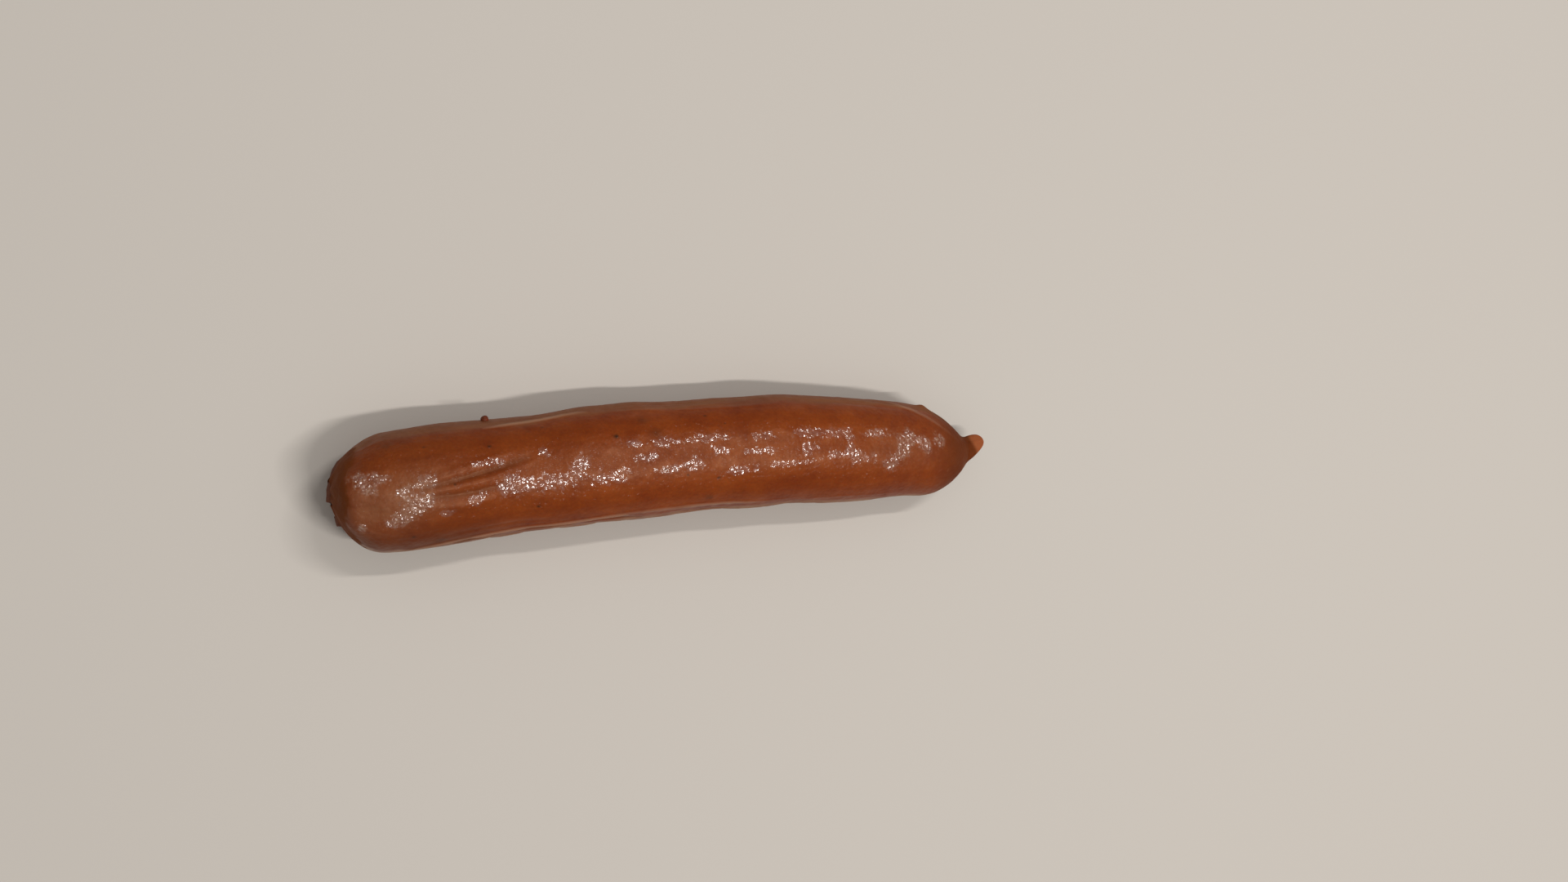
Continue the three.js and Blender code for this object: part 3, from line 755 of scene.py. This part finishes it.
def skin_place(at, turn):
    """The point of the finished skin at a place on it, and its normal."""
    mesh = bpy.data.objects["link"].data
    places = np.empty(2 * len(mesh.loops))
    mesh.uv_layers["skin"].data.foreach_get("uv", places)
    off_at = places[0::2] * LENGTH - at
    off_turn = (places[1::2] * 360 + SEAM_TURN - turn) * math.radians(MEAN_GIRTH)
    loop = mesh.loops[int(np.argmin(off_at**2 + off_turn**2))]
    vertex = mesh.vertices[loop.vertex_index]
    return vertex.co.copy(), vertex.normal.copy()


def measure(name, description, default):
    """A length."""
    return FloatProperty(name=name, description=description, default=default, unit="LENGTH")


def factor(name, description, default):
    """A share or a multiple."""
    kept = {"subtype": "FACTOR", "min": 0.0, "soft_max": 2.0}
    return FloatProperty(name=name, description=description, default=default, **kept)


def tint(name, description, hex_colour):
    """A colour, given as sRGB hex."""
    default = linear(hex_colour)
    return FloatVectorProperty(name=name, description=description, subtype="COLOR", default=default)


class LinkSizes(bpy.types.PropertyGroup):
    """Shape of the link"""

    length: measure("Length", "Whole length with the tip", LENGTH)
    plumpness: factor("Plumpness", "Factor on the half-width", 1.0)
    bow: measure("Bow", "How far the middle stands off", BOW)
    bow_skew: measure("Bow skew", "How far the bow leans towards the tip", BOW_SKEW)
    flattening: factor("Flattening", "Height over width", FLATTENING)
    resting_sink: measure("Resting sink", "How much of the underside is pressed flat", RESTING_SINK)
    fold_strength: factor("Fold strength", "Factor on folds and furrows", 1.0)
    pebble_height: measure("Pebble height", "Height of the fine relief", 0.09 * MM)
    pebble_size: measure("Pebble size", "Width of the fine relief", 3.2 * MM)
    rings: IntProperty(name="Rings", description="Rings of points along the link", default=RINGS)
    sides: IntProperty(name="Sides", description="Points round the link", default=SIDES)
    seed: IntProperty(name="Seed", description="Start of the random patterns", default=SEED)


class CasingLook(bpy.types.PropertyGroup):
    """Colours and gloss of the casing and what is stuck to it"""

    skin: tint("Skin", "Lighter red-brown of the skin", "#8C4013")
    deep: tint("Deep", "Deeper brown of its clouds", "#722B0A")
    # Dark is the real colour of the cone and of the crumb's and lips' grain, and painted shade in the
    # furrows and on the near flank
    dark: tint("Dark", "Furrows, the cone and the smoked flank", "#5A2609")
    # Film is partly loose casing and partly a painted reflection of the floor along both edges
    film: tint("Film", "Loose casing along the edges", "#865A3D")
    # This pale colour is a painted highlight: on fold crests, as a painted reflection along the near edge,
    # and in the painted glints of set fat at both ends
    crest: tint("Crests", "Crests of the loose casing's folds, and set fat", "#A88168")
    # Burnt is partly the end face's own darker colour and partly painted shade on it
    burnt: tint("Burnt", "The blunt end face", "#6A320F")
    nub: tint("Nub", "Gathered casing of the tip", "#9A5430")
    # The fat colour is partly set fat and partly a painted sheen on the top and at both ends
    fat: tint("Fat", "Set fat that clouds the skin", "#865438")
    pepper: tint("Pepper", "Ground pepper under the skin", "#2A1A12")
    roughness: factor("Roughness", "Roughness of the satin skin", 0.42)
    wet_roughness: factor("Wet roughness", "Roughness of the melted fat", 0.15)


class TrimSizes(bpy.types.PropertyGroup):
    """Crumb and torn edges"""

    crumb_radius: measure("Crumb", "Radius of the crumb", CRUMB["radius"])
    raggedness: measure("Raggedness", "Roughness of a torn edge", 0.07 * MM)


class StageLook(bpy.types.PropertyGroup):
    """Floor, light and camera"""

    floor: tint("Floor", "Colour of the floor", "#CBC4BC")
    light: tint("Light", "Colour of the lamps and the room", "#FFFDFA")
    walls: factor("Walls", "Brightness of the room at the height of the floor", 0.07)
    ceiling: factor("Ceiling", "Brightness of the room overhead", 0.5)
    near_power: FloatProperty(name="Near lamp", description="On the -Y side", default=4.3, unit="POWER")
    far_power: FloatProperty(name="Far lamp", description="On the +Y side", default=2.7, unit="POWER")
    lamp_length: measure("Lamp length", "Along the link", 0.36)
    lamp_width: measure("Lamp width", "Across the link", 0.032)
    lamp_height: measure("Lamp height", "Height of the lamps", 0.95)


class SAUSAGE_OT_make_link(bpy.types.Operator):
    """Makes the link itself"""

    bl_idname = "sausage.make_link"
    bl_label = "Link"

    def execute(self, context):
        sizes = context.scene.sausage_link
        tree = link_tree()
        carrier = bpy.data.objects.new("link carrier", bpy.data.meshes.new("link carrier"))
        context.scene.collection.objects.link(carrier)
        modifier = carrier.modifiers.new("Link", "NODES")
        modifier.node_group = tree
        values = {name.replace("_", " ").title(): getattr(sizes, name) for name in sizes.__annotations__}
        values["Casing"] = casing_material(context.scene.sausage_casing)
        for socket in tree.interface.items_tree:
            if socket.in_out == "INPUT" and socket.name in values:
                modifier[socket.identifier] = values[socket.name]
        graph = context.evaluated_depsgraph_get()
        made = carrier.evaluated_get(graph)
        mesh = bpy.data.meshes.new_from_object(made, preserve_all_data_layers=True, depsgraph=graph)
        bpy.data.objects.remove(carrier)
        if not mesh.polygons:
            raise RuntimeError("the link's tree made no mesh")
        points = np.empty(3 * len(mesh.vertices))
        mesh.vertices.foreach_get("co", points)
        points = points.reshape(-1, 3)
        off = (LINK_LOW + LINK_HIGH) / 2 - Vector((points.min(0) + points.max(0)) / 2)
        mesh.transform(Matrix.Translation((off.x, off.y, 0)))
        link = finish_piece("link", mesh)
        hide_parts("sausage")
        return {"FINISHED"}


class SAUSAGE_OT_make_torn_edges(bpy.types.Operator):
    """Makes the torn edges of casing at the blunt end"""

    bl_idname = "sausage.make_torn_edges"
    bl_label = "Torn edges"

    def execute(self, context):
        # The vectors of this noise start from the clock unless they are given a seed
        noise.seed_set(context.scene.sausage_link.seed)
        look = context.scene.sausage_casing
        # The torn lips take the end face's colours, which are partly painted shade
        material = crust_material("torn dry casing", look.dark, look.burnt, 0.8)
        for number, (height, tall, rim) in enumerate(LIPS, 1):
            mesh = lip_mesh(height * MM, tall * MM, rim, context.scene.sausage_trim.raggedness)
            mesh.materials.append(material)
            finish_piece(f"torn_edge_{number}", mesh)
        return {"FINISHED"}


def lip_mesh(height, tall, rim, raggedness):
    """A lip on the end face: a rounded section swept along its outer edge and then roughened."""
    corners = [Vector((x, y, 0)) * MM for x, y in rim]
    points = []
    for start, end in zip(corners, corners[1:]):
        steps = max(1, round((end - start).length / LIP["step"]))
        points += [start.lerp(end, step / steps) for step in range(steps)]
    build = bmesh.new()
    rings = []
    for point in [*points, corners[-1]]:
        inward = (Vector((*LIP_HEART, 0)) - point).normalized() * LIP["depth"]
        ring = []
        for step in range(LIP["sides"] + 1):
            angle = math.radians(180 / LIP["sides"] * step - 90)
            spot = point + inward * (1 - math.cos(angle) ** LIP["roundness"])
            spot.z = height + tall / 2 * math.sin(angle)
            ring.append(build.verts.new(spot + raggedness * noise.noise_vector(spot / LIP["roughening"])))
        rings.append(ring)
    for one, two in zip(rings, rings[1:]):
        for i in range(len(one)):
            build.faces.new((one[i - 1], one[i], two[i], two[i - 1]))
    build.faces.new(rings[0])
    build.faces.new(rings[-1])
    bmesh.ops.recalc_face_normals(build, faces=build.faces)
    return new_mesh("torn edge", build)


class SAUSAGE_OT_make_crumb(bpy.types.Operator):
    """Makes the crumb stuck to the skin"""

    bl_idname = "sausage.make_crumb"
    bl_label = "Crumb"

    def execute(self, context):
        radius = context.scene.sausage_trim.crumb_radius
        point, normal = skin_place(CRUMB["at"], CRUMB["turn"])
        build = bmesh.new()
        bmesh.ops.create_icosphere(build, subdivisions=4, radius=radius)
        for vertex in build.verts:
            lumps = noise.fractal(vertex.co / CRUMB["lump"], 0.8, 2.0, 3)
            vertex.co *= 1 + CRUMB["lumpiness"] * lumps
        mesh = new_mesh("crumb", build)
        mesh.transform(Matrix.Translation(point - CRUMB["sunk"] * radius * normal))
        look = context.scene.sausage_casing
        mesh.materials.append(crust_material("dried meat crust", look.dark, look.deep, 0.6))
        finish_piece("crumb", mesh)
        return {"FINISHED"}


class SAUSAGE_OT_set_stage(bpy.types.Operator):
    """Makes the floor, the light and the camera"""

    bl_idname = "sausage.set_stage"
    bl_label = "Stage"

    def execute(self, context):
        look = context.scene.sausage_stage
        scene = context.scene
        build = bmesh.new()
        bmesh.ops.create_circle(build, cap_ends=True, segments=96, radius=FLOOR["radius"])
        mesh = new_mesh("floor", build)
        mesh.transform(Matrix.Translation((0, 0, -FLOOR["drop"])))
        mesh.materials.append(floor_material(look))
        floor = bpy.data.objects.new("floor", mesh)
        scene.collection.objects.link(floor)

        world = bpy.data.worlds.new("soft room")
        world.use_nodes = True
        tree = world.node_tree
        tree.nodes.clear()
        height = add(tree, SEPARATE, add(tree, "ShaderNodeTexCoord")).outputs["Z"]
        strength = add(tree, RANGE, height, 0.0, 1.0, look.walls, look.ceiling)
        background = add(tree, "ShaderNodeBackground", opaque(look.light), strength)
        add(tree, "ShaderNodeOutputWorld", background)
        scene.world = world

        powers = {"near lamp": look.near_power, "far lamp": look.far_power}
        for name, power in powers.items():
            lamp = bpy.data.lights.new(name, "AREA")
            lamp.shape = "RECTANGLE"
            lamp.size = look.lamp_length
            lamp.size_y = look.lamp_width
            lamp.energy = power
            lamp.color = look.light
            place = look.lamp_height * Vector((LAMP_LEAN, LAMP_SLOPES[name], 1))
            outward = place.normalized()
            across = outward.cross(Vector((1, 0, 0))).normalized()
            turned = Matrix((across.cross(outward), across, outward)).transposed().to_4x4()
            carrier = bpy.data.objects.new(name, lamp)
            carrier.matrix_world = Matrix.Translation(place) @ turned
            scene.collection.objects.link(carrier)

        tilt, roll = math.radians(CAMERA["tilt"]), math.radians(CAMERA["roll"])
        level = Vector((math.cos(roll), -math.sin(roll), 0))
        upward = Vector((math.sin(roll), math.cos(roll), 0))
        forward = level * math.sin(tilt) - Vector((0, 0, math.cos(tilt)))
        rightward = level * math.cos(tilt) + Vector((0, 0, math.sin(tilt)))
        lens = bpy.data.cameras.new("camera")
        lens.lens = CAMERA["lens"]
        lens.clip_start = 0.01
        camera = bpy.data.objects.new("camera", lens)
        place = Vector((CAMERA["x"], CAMERA["y"], 0)) - CAMERA["distance"] * forward
        columns = Matrix((rightward, upward, -forward)).transposed().to_4x4()
        camera.matrix_world = Matrix.Translation(place) @ columns
        scene.collection.objects.link(camera)
        scene.camera = camera
        scene.view_settings.view_transform = "Standard"
        return {"FINISHED"}


class SAUSAGE_PT_maker(bpy.types.Panel):
    """Lists the pieces and their sizes"""

    bl_label = "Sausage link"
    bl_idname = "SAUSAGE_PT_maker"
    bl_space_type = "VIEW_3D"
    bl_region_type = "UI"
    bl_category = "Sausage"

    def draw(self, context):
        for settings, (_, makers) in GROUPS.items():
            box = self.layout.box()
            group = getattr(context.scene, settings)
            for name in group.__annotations__:
                box.prop(group, name)
            for maker in makers:
                box.operator(maker.bl_idname)


# Each group of settings, by its name in the scene, and the operators that use it
GROUPS = {
    "sausage_link": (LinkSizes, [SAUSAGE_OT_make_link]),
    "sausage_casing": (CasingLook, []),
    "sausage_trim": (TrimSizes, [SAUSAGE_OT_make_crumb, SAUSAGE_OT_make_torn_edges]),
    "sausage_stage": (StageLook, [SAUSAGE_OT_set_stage]),
}
CLASSES = [kind for group, makers in GROUPS.values() for kind in (group, *makers)] + [SAUSAGE_PT_maker]


def register():
    for kind in CLASSES:
        bpy.utils.register_class(kind)
    for name, (group, _) in GROUPS.items():
        setattr(bpy.types.Scene, name, PointerProperty(type=group))


def unregister():
    for name in GROUPS:
        delattr(bpy.types.Scene, name)
    for kind in reversed(CLASSES):
        bpy.utils.unregister_class(kind)


def main():
    register()
    bpy.ops.sausage.make_link()
    bpy.ops.sausage.make_crumb()
    bpy.ops.sausage.make_torn_edges()
    bpy.ops.sausage.set_stage()


if __name__ == "__main__":
    main()
